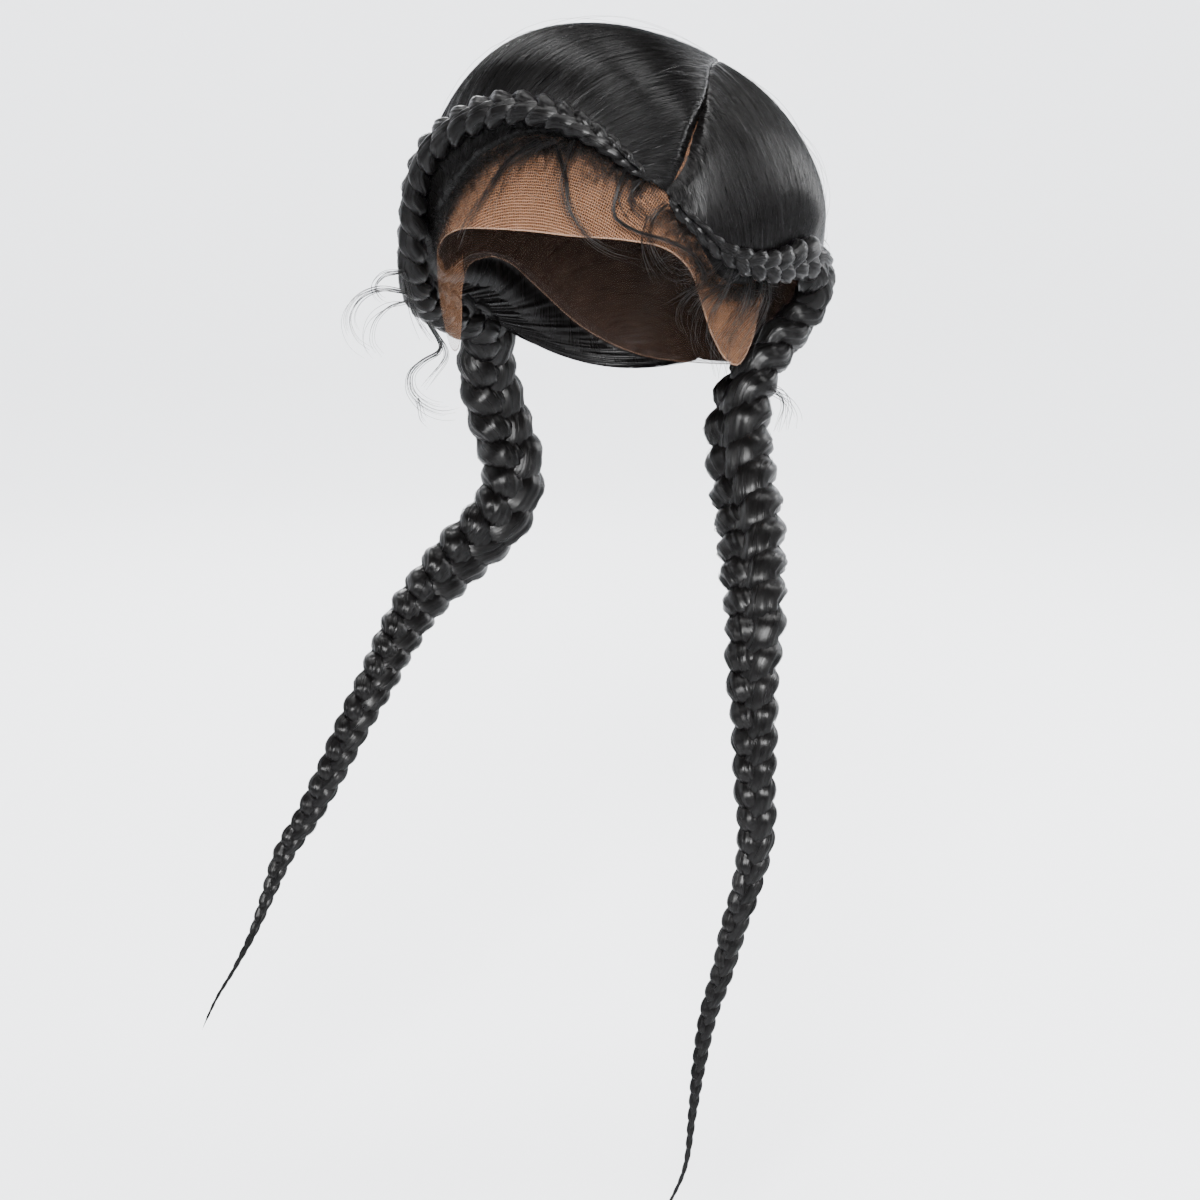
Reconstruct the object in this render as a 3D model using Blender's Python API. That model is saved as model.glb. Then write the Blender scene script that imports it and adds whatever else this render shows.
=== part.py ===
"""Braid wig: a lace-front cap, combed hair with a side part, and two Dutch braids.

Metres, +Z up. The wearer faces -Y and the wearer's left is +X. The origin is the
inside top of the cap, where the cap sits on the crown of the head. Places on the
head are directions from the head's centre: an azimuth that is 0 at the forehead
and grows towards the wearer's left, and an elevation above the widest level.
"""

import math

import bpy
import numpy as np

# Head that the cap is made for
HEAD_WIDTH = 0.157
HEAD_FRONT = 0.0855
HEAD_BACK = 0.1010
HEAD_RISE = 0.0770
TEMPLE_DROP = 0.165
NAPE_DROP = 0.110
PLAN_ROUNDNESS = 2.30
DOME_ROUNDNESS = 1.85
JAW_ROUNDNESS = 2.20

# Lace cap
LACE_THICKNESS = 0.0010
CAP_COLUMNS = 52
CAP_ROWS = (0.10, 0.24, 0.38, 0.52, 0.66, 0.79, 0.90, 1.0)

# Combed hair on the cap
CLEARANCE = 0.0003
SEAT = 0.0013
HAIR_DEPTH = 0.0048
HAIR_EDGE = 0.0015
HAIRLINE_SLOPE = 0.036
PART_SLOPE = 0.010
PART_EDGE_SHARE = 0.25
PART_WIDTH = 0.0026
PART_OPEN_SHARE = 0.17
PART_CLOSED_SHARE = 0.59
CREST_HEIGHT = 0.0095
CREST_ANGLE = 32.0
CREST_PLACE = (-55.0, 57.5)
HAIR_SECTIONS = 28
RIGHT_COLUMNS = 16
LEFT_COLUMNS = 9
EDGE_BUNCHING = 0.6

# Braids
BRAID_WIDTH = 0.0330
BRAID_DEPTH_SHARE = 0.70
BED_SHARE = 0.28
TIP_WIDTH = 0.0012
STRAND_SWING = (0.46, 0.30)
STRAND_HALF = (0.54, 0.68)
PAIRING = 0.26
PAIRING_ROUNDS = 6
LIP = 0.20
LIP_START = 0.60
CORE_SHARE = 0.62
LOBE_BASE = 0.0055
LOBE_SHARE = 0.30
RINGS_PER_LOBE = 4
FINE_WIDTH = 0.0150
BRAID_SIDES = 10
LEFT_DROP = 0.415
RIGHT_DROP = 0.332

# Points read along smooth curves
EDGE_POINTS = 120
READS_PER_POINT = 8
ON_HEAD_POINTS = 60
ON_HEAD_STEP = 4
ROUTE_POINTS = 1600
LOOK_WEIGHT = 0.001
ROUTE_ROUNDS = 3
FIRST_ON_HEAD_SHARE = 0.3

# Finish
LACE_COLOUR = (0.20, 0.13, 0.10)
LACE_ROUGHNESS = 0.80
HAIR_COLOUR = (0.011, 0.010, 0.010)
HAIR_ROUGHNESS = 0.34
SHARP_ANGLE = math.radians(50)

# Edge of the lace all round: azimuth, elevation
LACE_EDGE = (
    (0, 1), (15, 0), (30, -1), (42, -4), (49, -10), (53, -19), (58, -29), (65, -36),
    (72, -38), (78, -33), (81, -24), (86, -18), (95, -16), (104, -16), (112, -18),
    (124, -25), (140, -35), (160, -42), (180, -44), (200, -42), (220, -35), (236, -25),
    (248, -18), (256, -16), (265, -16), (274, -18), (279, -24), (282, -33), (288, -39),
    (295, -38), (302, -29), (307, -19), (313, -10), (322, -4), (334, 0), (347, 1),
)

# Part line from the forehead over the crown to the nape: azimuth, elevation
PART_LINE = (
    (42, 13), (48, 20), (54, 30), (63, 40), (80, 52), (108, 59), (136, 56),
    (158, 45), (171, 26), (178, 5), (180, -18), (180, -42),
)

# Hairline from the part down the wearer's right side to the nape: azimuth, elevation
RIGHT_HAIRLINE = (
    (38, 15), (30, 22), (20, 27), (8, 30), (-9, 30), (-18, 26), (-26, 20), (-32, 12),
    (-38, 6), (-46, 0), (-54, -7), (-61, -14), (-70, -18), (-80, -16), (-90, -14),
    (-102, -14), (-113, -16), (-126, -23), (-142, -33), (-160, -40), (-174, -42),
)

# Hairline from the part down the wearer's left side to the nape: azimuth, elevation
LEFT_HAIRLINE = (
    (44, 9), (47, 5), (51, -1), (55, -7), (60, -13), (69, -16), (80, -15), (90, -14),
    (102, -14), (113, -16), (126, -23), (142, -33), (160, -40), (174, -42),
)

# Middle of each braid where it lies on the head: azimuth, elevation
RIGHT_BRAID_ON_HEAD = (
    (36, 15), (32, 18), (27, 23), (22, 27), (16, 30), (8, 33), (-3, 35), (-15, 34),
    (-25, 30), (-34, 24), (-41, 17), (-45, 10), (-48, 2), (-51, -5), (-55, -12),
    (-61, -18), (-70, -23), (-80, -27), (-91, -30), (-101, -32), (-110, -33),
)
LEFT_BRAID_ON_HEAD = (
    (42, 10), (45, 6), (50, 2), (54, -2), (62, -7), (71, -10), (82, -11), (93, -10),
    (102, -11), (107, -16),
)

# Free braid below the head, as shares of its drop: down, outward, forward, and the
# azimuth that its broad face looks to
RIGHT_BRAID_FREE = (
    (0.09, 0.012, -0.030, -113), (0.163, -0.003, -0.042, -118), (0.226, -0.028, -0.036, -123),
    (0.298, -0.023, -0.003, -128), (0.34, 0.008, 0.036, -132), (0.377, 0.026, 0.084, -136),
    (0.416, 0.041, 0.133, -139), (0.458, 0.044, 0.184, -141), (0.503, 0.044, 0.235, -143),
    (0.563, 0.059, 0.277, -144), (0.63, 0.080, 0.307, -145), (0.69, 0.104, 0.331, -146),
    (0.741, 0.128, 0.355, -147), (0.801, 0.144, 0.377, -148), (0.852, 0.156, 0.398, -149),
    (0.904, 0.177, 0.416, -150), (0.958, 0.205, 0.431, -151), (1.0, 0.220, 0.443, -152),
)
LEFT_BRAID_FREE = (
    (0.031, -0.014, -0.013, 116), (0.053, -0.026, -0.002, 124), (0.082, -0.044, 0.026, 134),
    (0.113, -0.056, 0.053, 145), (0.149, -0.058, 0.075, 156), (0.19, -0.048, 0.094, 167),
    (0.229, -0.027, 0.120, 176), (0.265, -0.006, 0.149, 183), (0.306, 0.015, 0.186, 188),
    (0.349, 0.033, 0.217, 191), (0.395, 0.040, 0.239, 193), (0.446, 0.050, 0.253, 194),
    (0.501, 0.055, 0.263, 195), (0.557, 0.060, 0.267, 196), (0.612, 0.053, 0.272, 197),
    (0.665, 0.038, 0.275, 197), (0.716, 0.026, 0.277, 198), (0.764, 0.012, 0.280, 198),
    (0.822, 0.002, 0.282, 199), (0.882, -0.005, 0.284, 199), (0.942, -0.012, 0.287, 200),
    (1.0, -0.036, 0.289, 200),
)

# Width of each braid: share of its length, share of the full width
RIGHT_WIDTHS = (
    (0.0, 0.14), (0.045, 0.35), (0.082, 0.48), (0.127, 0.56), (0.21, 0.57), (0.306, 0.70),
    (0.366, 0.78), (0.42, 0.92), (0.50, 1.0), (0.56, 1.0), (0.60, 0.93), (0.647, 0.77),
    (0.70, 0.64), (0.752, 0.53), (0.81, 0.43), (0.855, 0.33), (0.882, 0.245), (0.918, 0.13),
    (0.95, 0.06), (1.0, 0.03),
)
LEFT_WIDTHS = (
    (0.0, 0.14), (0.052, 0.27), (0.096, 0.42), (0.148, 0.56), (0.20, 0.70), (0.26, 0.90),
    (0.33, 1.05), (0.40, 1.04), (0.45, 1.0), (0.49, 0.90), (0.53, 0.80), (0.59, 0.65),
    (0.675, 0.52), (0.713, 0.42), (0.79, 0.31), (0.87, 0.20), (0.913, 0.12), (0.957, 0.066),
    (1.0, 0.035),
)

HEAD_CENTRE = np.array([0.0, 0.0, -HEAD_RISE])
CAP_OUTSIDE = LACE_THICKNESS
HAIR_INSIDE = CAP_OUTSIDE + SEAT


def head_field(offset):
    """How far out each offset from the head's centre lies: 1 is on the scalp."""
    x, y, z = offset[..., 0], offset[..., 1], offset[..., 2]
    length = np.where(y < 0, HEAD_FRONT, HEAD_BACK)
    plan = np.abs(2 * x / HEAD_WIDTH) ** PLAN_ROUNDNESS + np.abs(y / length) ** PLAN_ROUNDNESS
    behind = np.clip(y / (np.hypot(x, y) + 1e-9), 0.0, 1.0) ** 2
    drop = TEMPLE_DROP + (NAPE_DROP - TEMPLE_DROP) * behind
    upper = plan ** (DOME_ROUNDNESS / PLAN_ROUNDNESS) + np.abs(z / HEAD_RISE) ** DOME_ROUNDNESS
    lower = plan ** (JAW_ROUNDNESS / PLAN_ROUNDNESS) + np.abs(z / drop) ** JAW_ROUNDNESS
    return np.where(z >= 0, upper ** (1 / DOME_ROUNDNESS), lower ** (1 / JAW_ROUNDNESS))


def unit(vectors):
    return vectors / np.linalg.norm(vectors, axis=-1, keepdims=True)


def direction(azimuth, elevation):
    a, e = np.radians(azimuth), np.radians(elevation)
    return np.stack([np.sin(a) * np.cos(e), -np.cos(a) * np.cos(e), np.sin(e) + 0 * a], -1)


def scalp_normal(offset):
    step = 0.00001
    slopes = [head_field(offset + side) - head_field(offset - side) for side in np.eye(3) * step]
    return unit(np.stack(slopes, -1))


def on_head(directions, lift):
    """Points and outward normals this far above the scalp in these directions."""
    offset = directions / head_field(directions)[..., None]
    normal = scalp_normal(offset)
    return HEAD_CENTRE + offset + normal * np.asarray(lift)[..., None], normal


def smooth_rows(rows, count, closed=False):
    """Reads a table as one smooth curve, at evenly spaced places along it."""
    rows = np.array(rows, float)
    if closed:
        rows = np.vstack([rows[-1:], rows, rows[:2]])
        rows[0, 0] -= 360
        rows[-2:, 0] += 360
    knots = np.concatenate([[0], np.cumsum(np.linalg.norm(np.diff(rows, axis=0), axis=1))])
    slopes = np.gradient(rows, knots, axis=0)
    start, end = (knots[1], knots[-2]) if closed else (knots[0], knots[-1])
    at = np.linspace(start, end, count, endpoint=not closed)
    span = np.clip(np.searchsorted(knots, at, side="right") - 1, 0, len(knots) - 2)
    width = knots[span + 1] - knots[span]
    t = ((at - knots[span]) / width)[:, None]
    width = width[:, None]
    return (
        (2 * t**3 - 3 * t**2 + 1) * rows[span]
        + (t**3 - 2 * t**2 + t) * width * slopes[span]
        + (3 * t**2 - 2 * t**3) * rows[span + 1]
        + (t**3 - t**2) * width * slopes[span + 1]
    )


def line_on_head(rows, count, closed=False):
    """Directions along a table of azimuths and elevations, evenly spaced on the scalp."""
    table = smooth_rows(rows, READS_PER_POINT * count, closed)
    points, _ = on_head(direction(table[:, 0], table[:, 1]), np.zeros(len(table)))
    if closed:
        points = np.vstack([points, points[:1]])
        table = np.vstack([table, table[:1] + (360, 0)])
    along = np.concatenate([[0], np.cumsum(np.linalg.norm(np.diff(points, axis=0), axis=1))])
    at = np.linspace(0, along[-1], count, endpoint=not closed)
    return np.stack([np.interp(at, along, table[:, k]) for k in (0, 1)], 1)


def smoothstep(value):
    value = np.clip(value, 0.0, 1.0)
    return value * value * (3 - 2 * value)


def nearest(directions, line):
    """Distance over the scalp from each direction to the nearest point of a line."""
    points, _ = on_head(directions, np.zeros(directions.shape[:-1]))
    marks, _ = on_head(line, np.zeros(len(line)))
    flat = points.reshape(-1, 3)
    gaps = np.linalg.norm(flat[:, None] - marks[None], axis=2).min(axis=1)
    return gaps.reshape(points.shape[:-1])


def hair_edges():
    """Directions along the outline of the combed hair, and along its part."""
    edges = [line_on_head(rows, EDGE_POINTS) for rows in (RIGHT_HAIRLINE, LEFT_HAIRLINE)]
    outline = np.vstack([direction(edge[:, 0], edge[:, 1]) for edge in edges])
    part = line_on_head(PART_LINE, EDGE_POINTS)
    return outline, direction(part[:, 0], part[:, 1])


HAIR_OUTLINE, HAIR_PART = hair_edges()


def hair_depth(directions):
    """Thickness of the combed hair: thin at its edges, deepest in a crest above the braid."""
    crest = direction(*CREST_PLACE)
    angle = np.degrees(np.arccos(np.clip(directions @ crest, -1, 1)))
    depth = HAIR_DEPTH + CREST_HEIGHT * np.exp(-((angle / CREST_ANGLE) ** 2))
    rise = smoothstep(nearest(directions, HAIR_OUTLINE) / HAIRLINE_SLOPE)
    from_part = nearest(directions, HAIR_PART) / PART_SLOPE
    rise = rise * smoothstep(PART_EDGE_SHARE + (1 - PART_EDGE_SHARE) * from_part)
    return HAIR_EDGE + (depth - HAIR_EDGE) * rise


def solid(name, points, faces, colour, roughness):
    mesh = bpy.data.meshes.new(name)
    mesh.from_pydata([tuple(p) for p in points], [], faces)
    mesh.validate()
    mesh.shade_smooth()
    mesh.set_sharp_from_angle(angle=SHARP_ANGLE)
    material = bpy.data.materials.new(name)
    material.use_nodes = True
    finish = material.node_tree.nodes["Principled BSDF"]
    finish.inputs["Base Color"].default_value = (*colour, 1.0)
    finish.inputs["Roughness"].default_value = roughness
    finish.inputs["Metallic"].default_value = 0.0
    mesh.materials.append(material)
    piece = bpy.data.objects.new(name, mesh)
    bpy.context.collection.objects.link(piece)
    return piece


def ring_faces(rings, sides):
    """Faces of a tube of rings, with both ends closed."""
    faces = []
    for r in range(rings - 1):
        for k in range(sides):
            a, b = r * sides + k, r * sides + (k + 1) % sides
            faces.append((a, b, b + sides, a + sides))
    faces.append(tuple(range(sides))[::-1])
    faces.append(tuple((rings - 1) * sides + k for k in range(sides)))
    return faces


def lace_cap():
    """The cap: one wall over the crown, down to the lace edge, open below."""
    edge = line_on_head(LACE_EDGE, CAP_COLUMNS, closed=True)
    walls = []
    for lift in (CAP_OUTSIDE, 0.0):
        top, _ = on_head(np.array([[0.0, 0.0, 1.0]]), np.array([lift]))
        rows = [top]
        for share in CAP_ROWS:
            elevation = 90 - (90 - edge[:, 1]) * share
            rows.append(on_head(direction(edge[:, 0], elevation), np.full(CAP_COLUMNS, lift))[0])
        walls.append(np.vstack(rows))
    count = len(walls[0])
    last = 1 + (len(CAP_ROWS) - 1) * CAP_COLUMNS
    faces = []
    for k in range(CAP_COLUMNS):
        n = (k + 1) % CAP_COLUMNS
        faces.append((0, 1 + k, 1 + n))
        faces.append((count, count + 1 + n, count + 1 + k))
        for r in range(len(CAP_ROWS) - 1):
            a, b = 1 + r * CAP_COLUMNS + k, 1 + r * CAP_COLUMNS + n
            c, d = b + CAP_COLUMNS, a + CAP_COLUMNS
            faces.append((a, d, c, b))
            faces.append((count + a, count + b, count + c, count + d))
        faces.append((last + k, count + last + k, count + last + n, last + n))
    return solid("lace_cap", np.vstack(walls), faces, LACE_COLOUR, LACE_ROUGHNESS)


def part_edge(side):
    """Where one hair shell ends at the part, half the part's width from its middle."""
    places = line_on_head(PART_LINE, HAIR_SECTIONS)
    points, normals = on_head(direction(places[:, 0], places[:, 1]), np.zeros(HAIR_SECTIONS))
    along = unit(np.gradient(points, axis=0))
    share = np.linspace(0, 1, HAIR_SECTIONS)
    closing = (share - PART_OPEN_SHARE) / (PART_CLOSED_SHARE - PART_OPEN_SHARE)
    width = 2 * CLEARANCE + PART_WIDTH * (1 - smoothstep(closing))
    across = unit(np.cross(along, normals)) * (side * width / 2)[:, None]
    return unit(points + across - HEAD_CENTRE)


def hair_shell(name, hairline, side, columns):
    """Combed hair from the part to the hairline, as arcs across the head."""
    start = part_edge(side)
    edge = line_on_head(hairline, HAIR_SECTIONS)
    end = direction(edge[:, 0], edge[:, 1])
    turn = np.arccos(np.clip((start * end).sum(axis=1), -1, 1))
    even = np.linspace(0, 1, columns)
    share = EDGE_BUNCHING * (1 - np.cos(math.pi * even)) / 2 + (1 - EDGE_BUNCHING) * even
    before = np.sin((1 - share) * turn[:, None]) / np.sin(turn)[:, None]
    after = np.sin(share * turn[:, None]) / np.sin(turn)[:, None]
    arcs = before[..., None] * start[:, None] + after[..., None] * end[:, None]
    depth = hair_depth(arcs)
    outside, _ = on_head(arcs, HAIR_INSIDE + depth)
    inside, _ = on_head(arcs, np.full(depth.shape, HAIR_INSIDE))
    rings = np.concatenate([outside, inside[:, ::-1]], axis=1)
    if side < 0:
        rings = rings[:, ::-1]
    points = rings.reshape(-1, 3)
    faces = ring_faces(HAIR_SECTIONS, 2 * columns)
    return solid(name, points, faces, HAIR_COLOUR, HAIR_ROUGHNESS)


def braid_route(on_head_rows, free_rows, drop, widths, side):
    """Distances, places, broad-face directions and widths along a braid, root to tip.

    The rounds settle how wide the braid is where it lies on the head, and so how high.
    """
    places = smooth_rows(on_head_rows, ON_HEAD_POINTS)
    heading = direction(places[:, 0], places[:, 1])
    free = np.array(free_rows, float)
    facing = direction(free[:, 3], np.zeros(len(free)))
    share = np.linspace(0, FIRST_ON_HEAD_SHARE, ON_HEAD_POINTS)
    across = unit(np.cross(heading, np.gradient(heading, axis=0)))
    for _ in range(ROUTE_ROUNDS):
        width = BRAID_WIDTH * np.interp(share, *np.array(widths).T)
        reach = (BED_SHARE * width / HEAD_FRONT)[:, None] * across
        bed = np.max([hair_depth(unit(heading + step * reach)) for step in (-1, 0, 1)], axis=0)
        lift = HAIR_INSIDE + bed + CLEARANCE + BRAID_DEPTH_SHARE * width / 2
        laid, normals = on_head(heading, lift)
        moves = np.stack([side * free[:, 1], -free[:, 2], -free[:, 0]], 1) * drop
        knots = np.vstack([laid[::ON_HEAD_STEP], laid[-1:], laid[-1] + moves])
        looks = np.vstack([normals[::ON_HEAD_STEP], normals[-1:], facing])
        table = smooth_rows(np.hstack([knots, looks * LOOK_WEIGHT]), ROUTE_POINTS)
        route, look = table[:, :3], unit(table[:, 3:])
        along = np.concatenate([[0], np.cumsum(np.linalg.norm(np.diff(route, axis=0), axis=1))])
        on_scalp = np.linalg.norm(route - laid[-1], axis=1).argmin()
        share = np.linspace(0, along[on_scalp] / along[-1], ON_HEAD_POINTS)
    width = BRAID_WIDTH * np.interp(along / along[-1], *np.array(widths).T)
    return along, route, look, np.maximum(width, TIP_WIDTH)


def strand_turn(at, strand):
    """How far a strand has turned: its crossings are drawn level on the braid's two sides."""
    even = (at + strand) * math.tau / 3
    turn = even
    for _ in range(PAIRING_ROUNDS):
        turn = even - PAIRING * math.tau / 3 * np.sin(turn)
    return turn


def strands_reach(at, angle, across, deep):
    """Reach of three crossing strands from the braid's middle, at one angle round it."""
    swing_x, swing_y = STRAND_SWING[0] * across, STRAND_SWING[1] * deep
    strand_x, strand_y = STRAND_HALF[0] * across, STRAND_HALF[1] * deep
    ux, uy = np.cos(angle), np.sin(angle)
    reach = CORE_SHARE * deep + 0 * angle
    for strand in range(3):
        turn = strand_turn(at, strand)
        cx, cy = swing_x * np.sin(turn), swing_y * np.sin(2 * turn)
        a = (ux / strand_x) ** 2 + (uy / strand_y) ** 2
        b = ux * cx / strand_x**2 + uy * cy / strand_y**2
        c = (cx / strand_x) ** 2 + (cy / strand_y) ** 2 - 1
        reach = np.maximum(reach, (b + np.sqrt(np.maximum(b * b - a * c, 0))) / a)
    return reach


def braid_radius(at, angle, width):
    """Reach of the strands, each of which sags into a lip towards the braid's tip."""
    across, deep = width / 2, width * BRAID_DEPTH_SHARE / 2
    level = strands_reach(at - LIP * (1 - LIP_START), angle, across, deep)
    outward = level * np.hypot(np.cos(angle) / across, np.sin(angle) / deep)
    return strands_reach(at - LIP * (outward - LIP_START), angle, across, deep)


def braid(name, on_head_rows, free_rows, drop, widths, side):
    """One braid: rings round its three strands from root to tip, fewer where it is fine."""
    along, route, look, width = braid_route(on_head_rows, free_rows, drop, widths, side)
    lobe = LOBE_BASE + LOBE_SHARE * width
    lobes = np.concatenate([[0], np.cumsum(np.diff(along) / lobe[1:])])
    at = [0.0]
    while at[-1] < lobes[-1]:
        fine = np.interp(at[-1], lobes, width) < FINE_WIDTH
        at.append(at[-1] + (2 if fine else 1) / RINGS_PER_LOBE)
    at = np.array(at[:-1])
    rings = len(at)
    centre = np.stack([np.interp(at, lobes, route[:, k]) for k in range(3)], 1)
    facing = np.stack([np.interp(at, lobes, look[:, k]) for k in range(3)], 1)
    size = np.interp(at, lobes, width)
    along_ring = unit(np.gradient(centre, axis=0))
    sideways = unit(np.cross(facing, along_ring))
    facing = np.cross(along_ring, sideways)
    angle = np.arange(BRAID_SIDES) * math.tau / BRAID_SIDES
    points = []
    for k in range(rings):
        reach = braid_radius(at[k], angle, size[k])[:, None]
        spoke = np.cos(angle)[:, None] * sideways[k] + np.sin(angle)[:, None] * facing[k]
        points.append(centre[k] + reach * spoke)
    faces = ring_faces(rings, BRAID_SIDES)
    return solid(name, np.vstack(points), faces, HAIR_COLOUR, HAIR_ROUGHNESS)


def main():
    for old in list(bpy.data.objects):
        bpy.data.objects.remove(old, do_unlink=True)
    lace_cap()
    hair_shell("crown_hair_right", RIGHT_HAIRLINE, -1, RIGHT_COLUMNS)
    hair_shell("crown_hair_left", LEFT_HAIRLINE, 1, LEFT_COLUMNS)
    braid("braid_right", RIGHT_BRAID_ON_HEAD, RIGHT_BRAID_FREE, RIGHT_DROP, RIGHT_WIDTHS, -1)
    braid("braid_left", LEFT_BRAID_ON_HEAD, LEFT_BRAID_FREE, LEFT_DROP, LEFT_WIDTHS, 1)


main()
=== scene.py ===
"""Looks of the braid wig: plaited strands, combed fibres, sheer lace and fine loose hairs.

Metres, in the frame of the CAD: the wearer faces -Y, their left is +X, and the origin is
the inside top of the cap. Places on the head are directions from the head's centre, as
an azimuth that is 0 at the forehead and grows towards the wearer's left, and an
elevation above the widest level.
"""

import math

import bpy
import numpy as np
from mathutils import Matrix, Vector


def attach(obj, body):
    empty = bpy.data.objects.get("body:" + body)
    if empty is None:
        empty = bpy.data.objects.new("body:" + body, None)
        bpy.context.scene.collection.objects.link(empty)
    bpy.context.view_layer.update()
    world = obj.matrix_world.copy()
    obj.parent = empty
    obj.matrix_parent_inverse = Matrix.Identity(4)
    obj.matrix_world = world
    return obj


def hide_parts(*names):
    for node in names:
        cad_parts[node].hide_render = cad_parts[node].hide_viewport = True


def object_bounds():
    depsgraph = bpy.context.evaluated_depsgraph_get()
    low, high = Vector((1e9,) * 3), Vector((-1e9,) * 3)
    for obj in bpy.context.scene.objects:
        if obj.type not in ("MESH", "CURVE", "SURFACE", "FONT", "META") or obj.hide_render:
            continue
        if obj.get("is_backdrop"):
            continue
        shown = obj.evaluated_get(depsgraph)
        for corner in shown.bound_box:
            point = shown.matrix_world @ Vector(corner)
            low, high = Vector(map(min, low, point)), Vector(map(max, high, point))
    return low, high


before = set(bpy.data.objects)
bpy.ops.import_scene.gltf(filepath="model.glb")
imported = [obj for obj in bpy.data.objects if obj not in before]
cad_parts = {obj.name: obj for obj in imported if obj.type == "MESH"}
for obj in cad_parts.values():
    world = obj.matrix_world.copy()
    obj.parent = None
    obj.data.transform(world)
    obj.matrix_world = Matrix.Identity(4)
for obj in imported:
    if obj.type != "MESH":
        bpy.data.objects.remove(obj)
CAD_BOX = [list(corner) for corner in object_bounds()]
DRAW = np.random.default_rng(7)

# Photograph's camera
PHOTO_SIZE = 1200
FOCAL_PIXELS = 3010.75
SENSOR = 36.0
CAMERA_PLACE = np.array([0.6548, -1.2314, 0.0440])
CAMERA_PITCH = math.radians(12.156)
CAMERA_YAW = math.radians(28.371)

# Head that the cap is made for
HEAD_WIDTH = 0.157
HEAD_FRONT = 0.0855
HEAD_BACK = 0.1010
HEAD_RISE = 0.0770
TEMPLE_DROP = 0.165
NAPE_DROP = 0.110
PLAN_ROUNDNESS = 2.30
DOME_ROUNDNESS = 1.85
JAW_ROUNDNESS = 2.20
HEAD_CENTRE = np.array([0.0, 0.0, -HEAD_RISE])

# Lace cap and combed hair
LACE_THICKNESS = 0.0010
CLEARANCE = 0.0003
SEAT = 0.0013
HAIR_DEPTH = 0.0048
HAIR_EDGE = 0.0015
HAIRLINE_SLOPE = 0.036
PART_SLOPE = 0.010
PART_EDGE_SHARE = 0.25
CREST_HEIGHT = 0.0095
CREST_ANGLE = 32.0
CREST_PLACE = (-55.0, 57.5)
HAIR_INSIDE = LACE_THICKNESS + SEAT

# Braids
BRAID_WIDTH = 0.0330
BRAID_DEPTH_SHARE = 0.70
BED_SHARE = 0.28
TIP_WIDTH = 0.0012
STRAND_SWING = (0.46, 0.30)
STRAND_HALF = (0.54, 0.68)
PAIRING = 0.26
PAIRING_ROUNDS = 6
LIP = 0.20
LIP_START = 0.60
NOTCH = 0.13
LOBE_BASE = 0.0055
LOBE_SHARE = 0.30
LEFT_DROP = 0.415
RIGHT_DROP = 0.332

# Points read along smooth curves
EDGE_POINTS = 120
BLOCK = 20000
READS_PER_POINT = 8
ON_HEAD_POINTS = 60
ON_HEAD_STEP = 4
ROUTE_POINTS = 1600
LOOK_WEIGHT = 0.001
ROUTE_ROUNDS = 3
FIRST_ON_HEAD_SHARE = 0.3

# Edge of the lace all round: azimuth, elevation
LACE_EDGE = (
    (0, 1), (15, 0), (30, -1), (42, -4), (49, -10), (53, -19), (58, -29), (65, -36),
    (72, -38), (78, -33), (81, -24), (86, -18), (95, -16), (104, -16), (112, -18),
    (124, -25), (140, -35), (160, -42), (180, -44), (200, -42), (220, -35), (236, -25),
    (248, -18), (256, -16), (265, -16), (274, -18), (279, -24), (282, -33), (288, -39),
    (295, -38), (302, -29), (307, -19), (313, -10), (322, -4), (334, 0), (347, 1),
)

# Part line from the forehead over the crown to the nape: azimuth, elevation
PART_LINE = (
    (42, 13), (48, 20), (54, 30), (63, 40), (80, 52), (108, 59), (136, 56),
    (158, 45), (171, 26), (178, 5), (180, -18), (180, -42),
)

# Hairline from the part down the wearer's right side to the nape: azimuth, elevation
RIGHT_HAIRLINE = (
    (38, 15), (30, 22), (20, 27), (8, 30), (-9, 30), (-18, 26), (-26, 20), (-32, 12),
    (-38, 6), (-46, 0), (-54, -7), (-61, -14), (-70, -18), (-80, -16), (-90, -14),
    (-102, -14), (-113, -16), (-126, -23), (-142, -33), (-160, -40), (-174, -42),
)

# Hairline from the part down the wearer's left side to the nape: azimuth, elevation
LEFT_HAIRLINE = (
    (44, 9), (47, 5), (51, -1), (55, -7), (60, -13), (69, -16), (80, -15), (90, -14),
    (102, -14), (113, -16), (126, -23), (142, -33), (160, -40), (174, -42),
)

# Middle of each braid where it lies on the head: azimuth, elevation
RIGHT_BRAID_ON_HEAD = (
    (36, 15), (32, 18), (27, 23), (22, 27), (16, 30), (8, 33), (-3, 35), (-15, 34),
    (-25, 30), (-34, 24), (-41, 17), (-45, 10), (-48, 2), (-51, -5), (-55, -12),
    (-61, -18), (-70, -23), (-80, -27), (-91, -30), (-101, -32), (-110, -33),
)
LEFT_BRAID_ON_HEAD = (
    (42, 10), (45, 6), (50, 2), (54, -2), (62, -7), (71, -10), (82, -11), (93, -10),
    (102, -11), (107, -16),
)

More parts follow.
